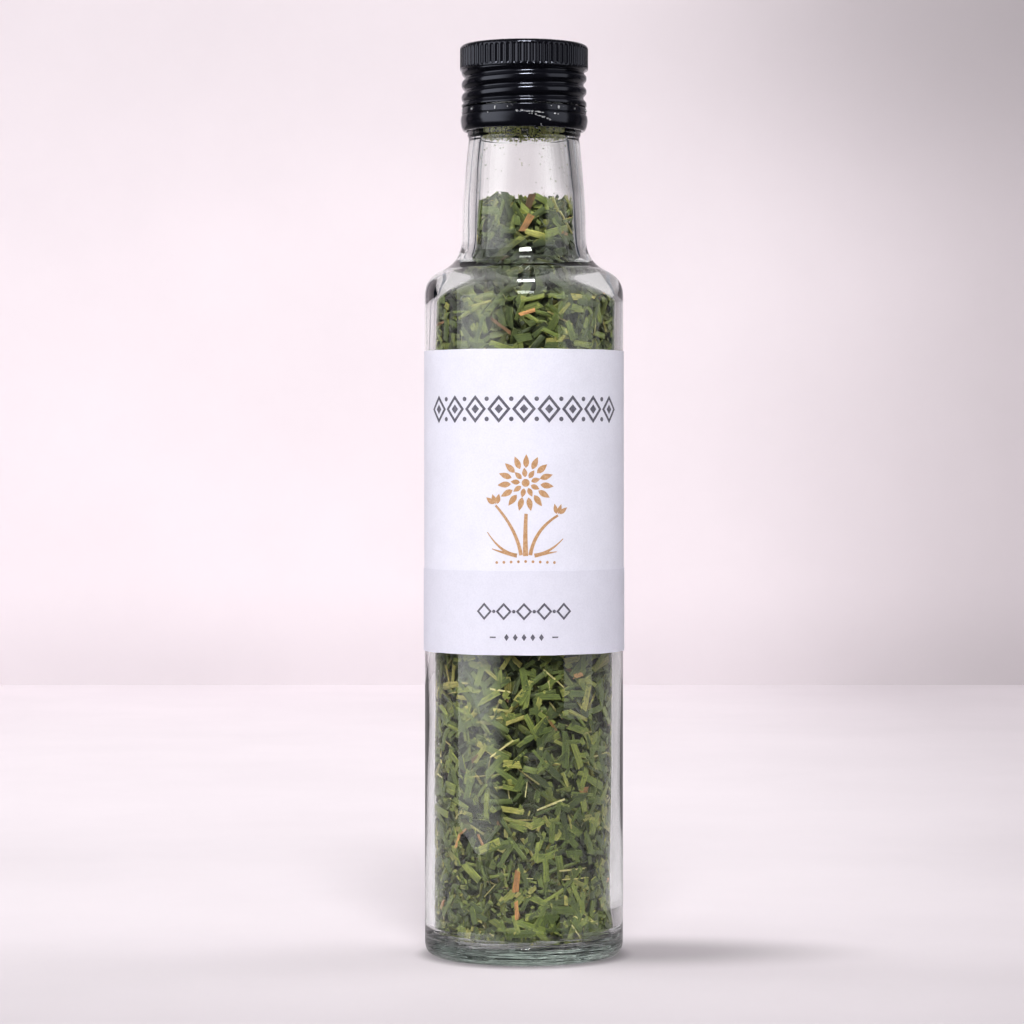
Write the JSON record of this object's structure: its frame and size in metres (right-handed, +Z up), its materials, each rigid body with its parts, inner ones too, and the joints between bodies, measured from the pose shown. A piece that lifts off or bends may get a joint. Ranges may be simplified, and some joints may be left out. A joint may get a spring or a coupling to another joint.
{
  "type": "bottle of dried chives",
  "caption": "Slim clear glass bottle filled with dried cut chives, with a black aluminium screw cap, a tamper ring and a plain white wrap label.",
  "frame": {"origin": "centre of the base, on the surface that the bottle stands on", "axes": "+Z up along the bottle's axis; the front of the label faces -Y; +X to the right as seen from the front"},
  "size_m": [0.0496, 0.0492, 0.2237],
  "materials": {
    "clear_glass": "clear soda-lime glass with a faint green tint where it is thick",
    "black_lacquer": "black gloss lacquer on thin aluminium, with bare metal at the broken slits",
    "liner_foam": "soft off-white foam",
    "white_paper": "smooth matt white paper with a little grey and tan print",
    "strip_paper": "smooth matt paper, slightly greyer than the label under it",
    "dried_chives": "dry cut leaf flakes, mid to dark green with a few straw and brown bits"
  },
  "bodies": {
    "bottle": {"glass_bottle": "clear_glass", "tamper_ring": "black_lacquer", "label": "white_paper", "label_strip": "strip_paper", "chive_fill": "dried_chives"},
    "seal": {"cap_liner": "liner_foam"},
    "cap": {"cap_shell": "black_lacquer"}
  },
  "joints": [
    {"name": "cap_lift", "type": "slide", "parent": "bottle", "child": "seal", "axis": [0, 0, 1], "range_m": [0, 0.0064]},
    {"name": "cap_spin", "type": "hinge", "parent": "seal", "child": "cap", "pos_m": [0, 0, 0.2084], "axis": [0, 0, 1], "range_deg": [0, 720]}
  ],
  "couplings": [
    {"joint": "cap_lift", "follows": "cap_spin", "m_per_rad": 0.0005093}
  ]
}
